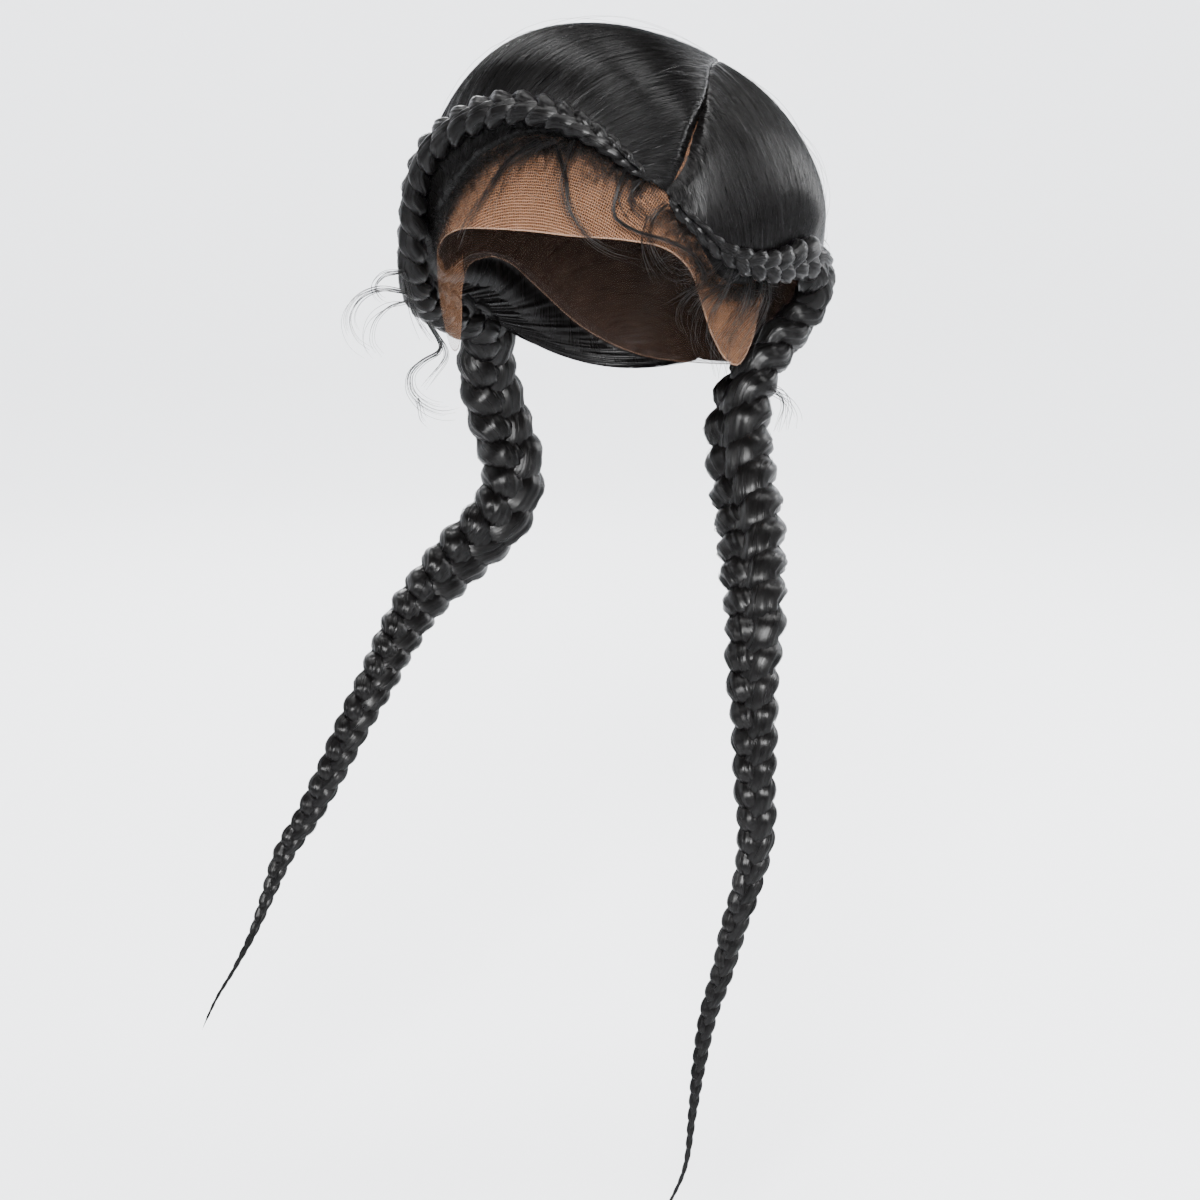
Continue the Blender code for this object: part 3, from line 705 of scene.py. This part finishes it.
class Braid:
    """Three strands that cross along a route, read at any count of lobes from the root."""

    def __init__(self, on_head_rows, free_rows, drop, widths, side):
        self.along, self.route, look, self.width = braid_route(
            on_head_rows, free_rows, drop, widths, side
        )
        lobe = LOBE_BASE + LOBE_SHARE * self.width
        self.lobes = np.concatenate([[0], np.cumsum(np.diff(self.along) / lobe[1:])])
        heading = unit(np.gradient(self.route, axis=0))
        self.sideways = unit(np.cross(look, heading))
        self.facing = np.cross(heading, self.sideways)
        self.count = self.lobes[-1]

    def read(self, values, at):
        if values.ndim == 1:
            return np.interp(at, self.lobes, values)
        return read_rows(at, self.lobes, values)

    def strand_middle(self, at, strand):
        """Sideways and facing offsets of a strand's middle, and its two half sizes."""
        width = self.read(self.width, at)
        across, deep = width / 2, width * BRAID_DEPTH_SHARE / 2
        turn = (at + strand) * math.tau / 3
        x = STRAND_SWING[0] * across * np.sin(turn)
        y = STRAND_SWING[1] * deep * np.sin(2 * turn)
        return x, y, STRAND_HALF[0] * across, STRAND_HALF[1] * deep

    def level(self, at, strand):
        """Lobes from the root where a strand is drawn, so that crossings pair up level."""
        return at + PAIRING * np.sin((at + strand) * math.tau / 3)

    def strand_centre(self, at, strand):
        """Middle of a strand and of the braid beside it, and the braid's axes there."""
        x, y, _, _ = self.strand_middle(at, strand)
        place = self.level(at, strand)
        sideways, facing = self.read(self.sideways, place), self.read(self.facing, place)
        middle = self.read(self.route, place)
        return middle + x[..., None] * sideways + y[..., None] * facing, middle, sideways, facing

    def strand_points(self, at, angle, strand, lift):
        """Points round a strand, square to it; each strand sags into a lip below its crossing."""
        centre, middle, sideways, facing = self.strand_centre(at, strand)
        ahead = self.strand_centre(at + SLOPE_STEP, strand)[0]
        behind = self.strand_centre(at - SLOPE_STEP, strand)[0]
        heading = unit(ahead - behind)
        across = unit(sideways - (sideways * heading).sum(axis=-1, keepdims=True) * heading)
        outward = np.cross(across, heading)
        outward = outward * np.sign((outward * facing).sum(axis=-1, keepdims=True))
        _, _, half_x, half_y = self.strand_middle(at, strand)
        root = ROOT_SHARE + (1 - ROOT_SHARE) * smoothstep(at / ROOT_LOBES)
        taper = np.minimum(smoothstep((self.count - at) / TIP_LOBES), root)
        u = (half_x + lift) * np.cos(angle) * taper
        v = (half_y + lift) * np.sin(angle) * taper
        centre = middle + (centre - middle) * taper[..., None]
        points = centre + u[..., None] * across + v[..., None] * outward
        spoke = points - middle
        px, py = (spoke * sideways).sum(axis=-1), (spoke * facing).sum(axis=-1)
        width = self.read(self.width, at)
        out = np.hypot(2 * px / width, 2 * py / (BRAID_DEPTH_SHARE * width))
        lobe = LOBE_BASE + LOBE_SHARE * width
        down = np.cross(sideways, facing)
        level = self.level(at, strand) + (spoke * down).sum(axis=-1) / lobe
        from_bead = 2 * np.abs(level - np.round(level))
        pinch = NOTCH * smoothstep(out) * (1 - np.sqrt(1 - BEAD_ROUNDNESS * from_bead**2))
        drawn_in = px[..., None] * sideways + py[..., None] * facing
        sag = LIP * (out - LIP_START) * lobe * taper
        return points - pinch[..., None] * drawn_in + sag[..., None] * down, px, py

    def on_strand(self, at, angle, strand, lift):
        """Points and normals on a strand's surface, at an angle round its middle."""
        points, px, py = self.strand_points(at, angle, strand, lift)
        centre = self.strand_centre(at, strand)[0]
        onward = self.strand_points(at + SLOPE_STEP, angle, strand, lift)[0] - points
        around = self.strand_points(at, angle + SLOPE_STEP, strand, lift)[0] - points
        normals = unit(np.cross(around, onward))
        normals = normals * np.sign((normals * (points - centre)).sum(axis=-1, keepdims=True))
        return points, normals, px, py

    def hidden(self, at, px, py, strand):
        """True where a point lies inside one of the other two strands."""
        inside = np.zeros(at.shape, bool)
        level = self.level(at, strand)
        for other in {0, 1, 2} - {strand}:
            there = level
            for _ in range(PAIRING_ROUNDS):
                there = level - PAIRING * np.sin((there + other) * math.tau / 3)
            x, y, half_x, half_y = self.strand_middle(there, other)
            inside |= ((px - x) / half_x) ** 2 + ((py - y) / half_y) ** 2 < HIDDEN_WITHIN
        return inside


def strand_relief(at, angle, half_width):
    """Shallow grooves between the locks of a strand, drifting slowly along it."""
    relief = 0
    for number in GROOVES:
        phase = DRAW.uniform(0, math.tau)
        drift, rate = DRAW.uniform(0.3, 1.2), DRAW.uniform(0.5, 1.5)
        relief = relief + np.cos(number * angle + phase + drift * np.sin(rate * at + phase))
    return GROOVE_DEPTH * relief * np.minimum(1, half_width / 0.008)


def braid_strands(name, braid, node):
    """The three strands of a braid as one mesh of grooved, tapering tubes."""
    rings = int(braid.count * RINGS_PER_LOBE)
    at = np.linspace(0, braid.count, rings)[:, None] + np.zeros((1, STRAND_SIDES))
    angle = np.linspace(0, math.tau, STRAND_SIDES, endpoint=False)[None] + np.zeros((rings, 1))
    points, quads, uv = [], [], []
    for strand in range(3):
        half_width = braid.strand_middle(at, strand)[2]
        relief = strand_relief(at, angle, half_width)
        spots = braid.strand_points(at, angle, strand, relief)[0]
        quads.append(grid_quads(rings, STRAND_SIDES, closed=True) + strand * at.size)
        points.append(spots.reshape(-1, 3))
        fold = np.abs(angle - math.pi) * half_width
        along = braid.read(braid.along, at) + STRAND_OFFSET * strand
        uv.append(np.stack([fold, along], -1).reshape(-1, 2))
    mesh_piece(name, np.vstack(points), np.vstack(quads), np.vstack(uv), PLAIT, "hair", [node])


def braid_fibres(name, braid, count):
    """Fine fibres that lie on the strands and lift off them a little."""
    centres, normals, widths = [], [], []
    t = np.linspace(0, 1, FIBRE_STEPS)[None]
    for strand in range(3):
        start = DRAW.uniform(0, braid.count - 2, (count, 1))
        at = start + DRAW.uniform(0.8, 1.7, (count, 1)) * t
        angle = DRAW.uniform(0, math.tau, (count, 1)) + DRAW.normal(0, 0.12, (count, 1)) * t
        size = braid.read(braid.width, at)
        lift = DRAW.uniform(0.00015, 0.0006, (count, 1)) * np.sin(math.pi * t) * size / BRAID_WIDTH
        spots, outward, px, py = braid.on_strand(at, angle, strand, lift)
        seen = braid.hidden(at, px, py, strand).mean(axis=1) < 0.5
        centres.append(spots[seen])
        normals.append(outward[seen])
        taper = np.sin(math.pi * np.clip(t, 0.04, 0.96)) ** 0.5
        width = DRAW.uniform(0.00008, 0.00022, (count, 1)) * taper * np.minimum(1, size / 0.012)
        widths.append(width[seen])
    ribbon_piece(name, np.vstack(centres), np.vstack(normals), np.vstack(widths))


# Combed hair


class Flow:
    """The way the hair is combed, from a line where it starts to a line along the braid."""

    def __init__(self, starts, ends, pairs, gather):
        self.gather = gather
        self.from_part = gather == TOP_GATHER
        self.shares = np.linspace(0, 1, EDGE_POINTS)
        self.starts = starts
        paired = np.interp(self.shares, *np.array(pairs).T)
        self.ends = unit(read_rows(paired, self.shares, ends))

    def directions(self, p, t):
        start = unit(read_rows(p, self.shares, self.starts))
        end = unit(read_rows(p, self.shares, self.ends))
        turn = np.arccos(np.clip((start * end).sum(axis=-1), -1, 1))[..., None] + 1e-6
        t = t[..., None]
        return unit((np.sin((1 - t) * turn) * start + np.sin(t * turn) * end) / np.sin(turn))


def part_edge(side):
    """The edge of the hair on one side of the part, which opens towards the forehead."""
    points, normals = on_head(HAIR_PART)
    along = unit(np.gradient(points, axis=0))
    share = np.linspace(0, 1, EDGE_POINTS)
    opening = smoothstep(0.3 + share / PART_WIDEST) * (1 - smoothstep(share / PART_SHUT))
    ragged = 1 + PART_RAGGED * np.sin(share * 140 + 3 * np.sin(share * 61 + side))
    width = PART_SHOWN * opening * ragged - PART_OVERLAP * (1 - opening)
    across = unit(np.cross(along, normals)) * (side * width / 2)[:, None]
    return unit(points + across - HEAD_CENTRE)


def hair_lift(directions, from_edge, share, gather, along_part):
    """Height of the combed surface: it comes up out of the lace and rises into the braid."""
    shut = smoothstep(along_part / PART_CLOSES)
    slope = PART_GENTLE + (PART_STEEP - PART_GENTLE) * shut
    full = HAIR_INSIDE + hair_depth(directions, slope)
    low = LACE_THICKNESS + CLEARANCE
    low = low + SHUT_FILL * shut * (full - low) * (along_part < 1)
    rise = gather * smoothstep((share - GATHER_START) / (1 - GATHER_START))
    edge = OPEN_EDGE_RISE + (EDGE_RISE - OPEN_EDGE_RISE) * shut
    return low + (full - low) * smoothstep(0.15 + 0.85 * from_edge / edge) + rise


def lock_relief(p, t, number):
    """Locks side by side in the combed hair, each a shallow ridge that wanders."""
    relief = 0
    for k in range(5):
        phase, rate = DRAW.uniform(0, math.tau), DRAW.uniform(2, 5)
        many = number * (0.35 + 0.3 * k)
        relief = relief + np.cos(many * math.tau * p + phase + 1.3 * np.sin(rate * t + phase))
    return LOCK_DEPTH * relief / 2


def combed_sheet(flow, columns, rows, number):
    """Outer surface of the combed hair as a grid along and across the fibres."""
    p = np.linspace(0, 1, columns)[:, None] + np.zeros((1, rows))
    t = np.linspace(0, 1, rows)[None] + np.zeros((columns, 1))
    headings = flow.directions(p, t)
    flat, _ = on_head(headings)
    along, across = travelled(flat, 1), travelled(flat, 0)
    lift = hair_lift(headings, along, t, flow.gather, p if flow.from_part else 1 + 0 * p)
    lift = lift + lock_relief(p, t, number) * smoothstep(along / EDGE_RISE)
    points, _ = on_head(headings, lift)
    uv = np.stack([across, along], -1).reshape(-1, 2)
    return points.reshape(-1, 3), grid_quads(columns, rows), uv


def combed_hair(name, node, flows, side):
    """The dense hair of one side of the head, under its loose fibres."""
    points, quads, uv, count = [], [], [], 0
    for flow, columns, rows, number in flows:
        spots, faces, flat = combed_sheet(flow, columns, rows, number)
        points.append(spots)
        quads.append(faces + count)
        uv.append(flat)
        count += len(spots)
    quads = np.vstack(quads)
    if side < 0:
        quads = quads[:, ::-1]
    mesh_piece(name, np.vstack(points), quads, np.vstack(uv), HAIR, "hair", [node])


def combed_fibres(name, flow, count, steps, longest, loose):
    """Single fibres combed over the dense hair, each along part of the way to the braid."""
    p = DRAW.uniform(0, 1, (count, 1))
    span = DRAW.uniform(0.35, 1.0, (count, 1)) * longest
    start = DRAW.uniform(-0.02, 1.0, (count, 1)) * (1.02 - span)
    t = start + span * np.linspace(0, 1, steps)[None]
    sway = DRAW.normal(0, 0.006, (count, 1)) * np.sin(DRAW.uniform(1, 4, (count, 1)) * t)
    p = np.clip(p + sway + DRAW.normal(0, 0.004, (count, 1)) * t, 0, 1)
    headings = flow.directions(p, np.clip(t, 0, 1))
    local = np.linspace(0, 1, steps)[None]
    lift = DRAW.uniform(loose / 7, loose, (count, 1)) * np.sin(math.pi * local)
    origin, _ = on_head(flow.directions(p, np.zeros_like(t)))
    from_edge = np.linalg.norm(on_head(headings)[0] - origin, axis=2)
    along_part = p if flow.from_part else 1 + 0 * p
    surface = hair_lift(headings, from_edge, np.clip(t, 0, 1), flow.gather, along_part)
    centres, normals = on_head(headings, surface + FIBRE_CLEARANCE + lift)
    taper = np.sin(math.pi * np.clip(local, 0.05, 0.95)) ** 0.5
    half = DRAW.uniform(0.00008, 0.00020, (count, 1)) * taper
    ribbon_piece(name, centres, normals, half)


# Lace


def lace_net(trims):
    """The sheer cap, one layer from the crown to its cut edge."""
    edge = line_on_head(LACE_EDGE, LACE_COLUMNS, closed=True)
    share = np.linspace(0.004, 1, LACE_ROWS)[:, None]
    elevation = 90 - (90 - edge[:, 1])[None] * share
    azimuth = edge[:, 0][None] + np.zeros((LACE_ROWS, 1))
    points, _ = on_head(direction(azimuth, elevation), LACE_LIFT)
    down = travelled(points)
    turn = np.radians(azimuth)
    uv = np.stack([down * np.sin(turn), down * np.cos(turn)], -1).reshape(-1, 2)
    quads = grid_quads(LACE_ROWS, LACE_COLUMNS, closed=True)
    points = points.reshape(-1, 3)
    piece = mesh_piece("lace_net", points, quads, uv, NET, "lace", ["lace_cap"])
    piece.data.materials.append(ROOTED)
    right, left = (line_on_head(rows, EDGE_POINTS) for rows in (RIGHT_HAIRLINE, LEFT_HAIRLINE))
    turned = (azimuth + 180) % 360 - 180
    hairline = np.interp(turned, *np.vstack([right[::-1], left]).T) + ROOTED_FROM
    rooted = (elevation > hairline) | (np.abs(turned) > ROOTED_TO_EDGE)
    rooted = (rooted[1:] & rooted[:-1]).ravel()
    piece.data.polygons.foreach_set("material_index", rooted.astype(np.int32))


def strip_on_head(name, headings, width, lift, material, closed):
    """A narrow band of net laid along a line on the head."""
    middle, normals = on_head(headings, lift)
    if closed:
        along = unit(np.roll(middle, -1, axis=0) - np.roll(middle, 1, axis=0))
    else:
        along = unit(np.gradient(middle, axis=0))
    across = unit(np.cross(along, normals)) * width / 2
    points = np.stack([middle - across, middle + normals * 0.0001, middle + across], axis=1)
    far = travelled(middle)[:, None]
    sides = np.array([-0.5, 0.0, 0.5])[None] * width
    uv = np.stack([sides + 0 * far, far + 0 * sides], -1).reshape(-1, 2)
    quads = grid_quads(len(headings), 3)
    if closed:
        last = (len(headings) - 1) * 3
        quads = np.vstack([quads, [[last, last + 1, 1, 0], [last + 1, last + 2, 2, 1]]])
    return mesh_piece(name, points.reshape(-1, 3), quads, uv, material, "lace")


def lace_trims():
    """The cut edge of the lace, a little denser, and the doubled net under the part."""
    edge = line_on_head(LACE_EDGE, LACE_COLUMNS, closed=True)
    edge = direction(edge[:, 0], edge[:, 1] + 0.25)
    part = line_directions(PART_LINE)[: int(PART_SHUT * EDGE_POINTS) + 4]
    return [
        strip_on_head("lace_edge", edge, EDGE_BAND, LACE_LIFT + 0.0002, SELVEDGE, True),
        strip_on_head("part_lace", part, PART_BAND, LACE_LIFT + 0.0003, SCALP, False),
    ]


# Loose hairs


def scalp_paths(anchors, forward, outward, headings, bends, lengths, steps):
    """Curved paths over the scalp, from anchors, turned from each anchor's own axes."""
    s = np.linspace(0, 1, steps)[None]
    turn = headings[:, None] + bends[:, None] * s
    hop = lengths[:, None] / (steps - 1)
    u = np.cumsum(np.cos(turn), axis=1) * hop
    v = np.cumsum(np.sin(turn), axis=1) * hop
    base, _ = on_head(anchors)
    flat = base[:, None] + u[..., None] * forward[:, None] + v[..., None] * outward[:, None]
    return unit(flat - HEAD_CENTRE), s


def edge_axes(line, share):
    """Directions at shares along a line on the head, and the scalp axes there."""
    shares = np.linspace(0, 1, len(line))
    anchors = unit(read_rows(share, shares, line))
    points, normals = on_head(line)
    along = unit(np.gradient(points, axis=0))
    out = unit(np.cross(along, normals))
    return anchors, unit(read_rows(share, shares, along)), unit(read_rows(share, shares, out))


def hairline_hairs(name, line, side, span, count, length, width, rise, bend, steps):
    """Short fine hairs that grow out of the lace in front of a hairline."""
    share = DRAW.uniform(*span, count)
    anchors, forward, outward = edge_axes(line, share)
    outward = outward * side
    base, _ = on_head(anchors)
    reach = DRAW.exponential(HAIRLINE_FUZZ, count)[:, None]
    anchors = unit(base + outward * (reach - HAIRLINE_OVERLAP) - HEAD_CENTRE)
    headings = math.pi / 2 + DRAW.normal(0, 0.9, count)
    bends = DRAW.normal(0, bend, count)
    lengths = DRAW.uniform(0.4, 1.0, count) * length
    directions, s = scalp_paths(anchors, forward, outward, headings, bends, lengths, steps)
    lift = SHORT_HAIR_LIFT + DRAW.uniform(0.2, 1.0, (count, 1)) * rise * np.sin(math.pi * s) ** 0.8
    centres, normals = on_head(directions, lift)
    taper = (1.05 - s) ** 0.6
    half = DRAW.uniform(0.6, 1.0, (count, 1)) * width * taper
    tube_piece(name, centres, normals, half)


def knots(line, side, span, count, band):
    """The tiny knots that tie each hair to the net, as grains of six points."""
    share = DRAW.uniform(*span, count)
    anchors, _, outward = edge_axes(line, share)
    base, _ = on_head(anchors)
    reach = DRAW.uniform(-0.1, 1.0, count)[:, None] * band
    headings = unit(base + outward * side * reach - HEAD_CENTRE)
    middle, normals = on_head(headings, KNOT_LIFT)
    spread = unit(np.cross(normals, [[0.3, 0.2, 0.9]]))
    other = np.cross(normals, spread)
    size = DRAW.uniform(0.00020, 0.00034, (count, 1))
    spokes = [spread, other, -spread, -other, normals, -normals]
    return np.stack([middle + spoke * size for spoke in spokes], axis=1)


def knot_piece(parts):
    """All knots as one mesh: only the upper half of each is closed."""
    points = np.vstack(parts)
    top = np.array([[0, 1, 4], [1, 2, 4], [2, 3, 4], [3, 0, 4]])
    faces = (top[None] + (np.arange(len(points)) * 6)[:, None, None]).reshape(-1, 3)
    mesh = bpy.data.meshes.new("hair_knots")
    mesh.from_pydata(points.reshape(-1, 3).tolist(), [], faces.tolist())
    mesh.materials.append(KNOT)
    piece = add_object("hair_knots", mesh)
    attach(piece, "root")


def camera_axes():
    """The camera's right, up and back."""
    right = np.array([math.cos(CAMERA_YAW), math.sin(CAMERA_YAW), 0.0])
    back = np.array(
        [
            math.sin(CAMERA_YAW) * math.cos(CAMERA_PITCH),
            -math.cos(CAMERA_YAW) * math.cos(CAMERA_PITCH),
            math.sin(CAMERA_PITCH),
        ]
    )
    return right, np.cross(back, right), back


def sight_lines(places):
    """Directions from the photograph's camera through places in the photograph."""
    right, up, back = camera_axes()
    x = (places[..., 0:1] - PHOTO_SIZE / 2) / FOCAL_PIXELS
    y = (PHOTO_SIZE / 2 - places[..., 1:2]) / FOCAL_PIXELS
    return unit(x * right + y * up - back)


def seen_on_head(places, lift):
    """Points over the head form that show at these places, or nearest to its outline."""
    aim = sight_lines(places)
    reach = np.linspace(NEAR_REACH, FAR_REACH, 240)
    spots = CAMERA_PLACE + aim[..., None, :] * reach[:, None]
    field = head_field(spots - HEAD_CENTRE) - 1 - lift[..., None] / HEAD_FRONT
    first = np.where((field < 0).any(axis=-1), (field < 0).argmax(axis=-1), field.argmin(axis=-1))
    last = np.maximum(first - 1, 0)
    a = np.take_along_axis(field, last[..., None], -1)[..., 0]
    b = np.take_along_axis(field, first[..., None], -1)[..., 0]
    part = np.where((a > 0) & (b < 0), a / np.maximum(a - b, 1e-9), 1.0)
    depth = reach[last] + part * (reach[first] - reach[last])
    return CAMERA_PLACE + aim * depth[..., None]


def wisp_places(path, hairs, fan, steps):
    """Neighbouring hairs of one wisp as places in the photograph: they fan out as they go."""
    middle = smooth_rows(path, steps)
    step = np.gradient(middle, axis=0)
    side = np.stack([-step[:, 1], step[:, 0]], 1)
    side = side / np.linalg.norm(side, axis=1, keepdims=True)
    s = np.linspace(0, 1, steps)
    shift = DRAW.normal(0, fan, (hairs, 1)) * (0.15 + s)
    wave = DRAW.normal(0, fan / 3, (hairs, 1))
    turn = DRAW.uniform(2, 6, (hairs, 1)) * s + DRAW.uniform(0, 6, (hairs, 1))
    shift = shift + wave * np.sin(turn)
    end = DRAW.uniform(0.7, 1.0, (hairs, 1))
    places = middle[None] + shift[..., None] * side[None]
    cut = [[np.interp(end[k] * s, s, places[k, :, c]) for c in range(2)] for k in range(hairs)]
    return np.swapaxes(np.array(cut), 1, 2), s[None]


def wisps():
    """The long curled hairs that fall over the lace, the ears and beside the head."""
    centres, halves = [], []
    back = camera_axes()[2]
    rows = [(True, row) for row in WISPS_ON_HEAD] + [(False, row) for row in WISPS_BESIDE]
    for over_head, (hairs, fan, path) in rows:
        places, s = wisp_places(path, hairs, fan, WISP_STEPS)
        if over_head:
            lift = WISP_LIFT[0] + (WISP_LIFT[1] - WISP_LIFT[0]) * s
            lift = lift + DRAW.uniform(0, 0.003, (hairs, 1))
            spots = seen_on_head(places, np.broadcast_to(lift, places.shape[:2]))
        else:
            root = seen_on_head(places[:, :1], np.full((hairs, 1), WISP_LIFT[0]))
            aim = sight_lines(places)
            far = ((root - CAMERA_PLACE) @ -back)[..., None]
            far = far + DRAW.normal(0, 0.004, (hairs, 1, 1)) * s[..., None]
            spots = CAMERA_PLACE + aim * far / (aim @ -back)[..., None]
        centres.append(spots)
        halves.append(WISP_HALF * DRAW.uniform(0.6, 1.0, (hairs, 1)) * (1.05 - s) ** 0.5)
    centres = np.vstack(centres)
    tube_piece("wisps", centres, np.broadcast_to(back, centres.shape), np.vstack(halves))


# Stage, light and camera


def stage():
    """A pale floor that curves up into a round wall."""
    profile = [(0.0, 0.0), (FLOOR_RADIUS / 2, 0.0), (FLOOR_RADIUS, 0.0)]
    for k in range(1, BEND_STEPS + 1):
        bend = k / BEND_STEPS * math.pi / 2
        reach, rise = math.sin(bend), 1 - math.cos(bend)
        profile.append((FLOOR_RADIUS + FLOOR_BEND * reach, FLOOR_BEND * rise))
    profile.append((FLOOR_RADIUS + FLOOR_BEND, WALL_HEIGHT))
    points = []
    for radius, height in profile:
        for k in range(WALL_SIDES):
            turn = k * math.tau / WALL_SIDES
            points.append((radius * math.cos(turn), radius * math.sin(turn), FLOOR + height))
    faces = [tuple(q) for q in grid_quads(len(profile), WALL_SIDES, closed=True)]
    mesh = bpy.data.meshes.new("studio_floor")
    mesh.from_pydata(points, [], faces)
    mesh.shade_smooth()
    mesh.materials.append(new_material("pale_floor", FLOOR_PALE, 0.9)[0])
    floor = add_object("studio_floor", mesh)
    floor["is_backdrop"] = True


def area_light(name, place, target, size, power):
    data = bpy.data.lights.new(name, "AREA")
    data.shape = "DISK"
    data.size = size
    data.energy = power
    light = add_object(name, data)
    light.location = place
    aim = np.array(target) - np.array(place)
    flat = math.hypot(aim[0], aim[1])
    light.rotation_euler = (math.atan2(flat, -aim[2]), 0.0, math.atan2(-aim[0], aim[1]))


def lights_and_camera():
    world = bpy.data.worlds.new("studio")
    world.use_nodes = True
    sky = world.node_tree.nodes["Background"]
    sky.inputs["Color"].default_value = (*SKY_COLOUR, 1.0)
    sky.inputs["Strength"].default_value = SKY_STRENGTH
    bpy.context.scene.world = world
    for name, place, target, size, power in LIGHTS:
        area_light(name, place, target, size, power)
    data = bpy.data.cameras.new("camera")
    data.sensor_width = SENSOR
    data.lens = SENSOR * FOCAL_PIXELS / PHOTO_SIZE
    camera = add_object("camera", data)
    camera.location = CAMERA_PLACE
    camera.rotation_euler = (math.pi / 2 - CAMERA_PITCH, 0.0, CAMERA_YAW)
    bpy.context.scene.camera = camera


def main():
    stage()
    lights_and_camera()
    right = Braid(RIGHT_BRAID_ON_HEAD, RIGHT_BRAID_FREE, RIGHT_DROP, RIGHT_WIDTHS, -1)
    left = Braid(LEFT_BRAID_ON_HEAD, LEFT_BRAID_FREE, LEFT_DROP, LEFT_WIDTHS, 1)
    braid_strands("plait_right", right, "braid_right")
    braid_strands("plait_left", left, "braid_left")
    braid_fibres("plait_right_fibres", right, BRAID_FIBRES_RIGHT)
    braid_fibres("plait_left_fibres", left, BRAID_FIBRES_LEFT)
    right_line = line_directions(RIGHT_BRAID_ON_HEAD)
    left_line = line_directions(LEFT_BRAID_ON_HEAD)
    lines = {
        "right": line_directions(RIGHT_HAIRLINE),
        "left": line_directions(LEFT_HAIRLINE),
        "part": HAIR_PART,
    }
    flows = {
        "right_top": Flow(part_edge(-1), right_line, RIGHT_FROM_PART, TOP_GATHER),
        "left_top": Flow(part_edge(1), left_line, LEFT_FROM_PART, TOP_GATHER),
        "right_rim": Flow(lines["right"], right_line, RIGHT_FROM_HAIRLINE, RIM_GATHER),
        "left_rim": Flow(lines["left"], left_line, LEFT_FROM_HAIRLINE, RIM_GATHER),
    }
    right_grids = [(flows["right_top"], *RIGHT_TOP_GRID), (flows["right_rim"], *RIGHT_RIM_GRID)]
    left_grids = [(flows["left_top"], *LEFT_TOP_GRID), (flows["left_rim"], *LEFT_RIM_GRID)]
    combed_hair("combed_right", "crown_hair_right", right_grids, -1)
    combed_hair("combed_left", "crown_hair_left", left_grids, 1)
    for name, flow, *sizes in COMBED_FIBRES:
        combed_fibres(name, flows[flow], *sizes)
    for name, line, *sizes in HAIRLINE_HAIRS:
        hairline_hairs(name, lines[line], *sizes)
    knot_piece([knots(lines[line], *sizes) for line, *sizes in KNOTS])
    wisps()
    lace_net(lace_trims())
    sizes = {"cad": CAD_BOX, "visual": [list(corner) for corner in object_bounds()]}


main()
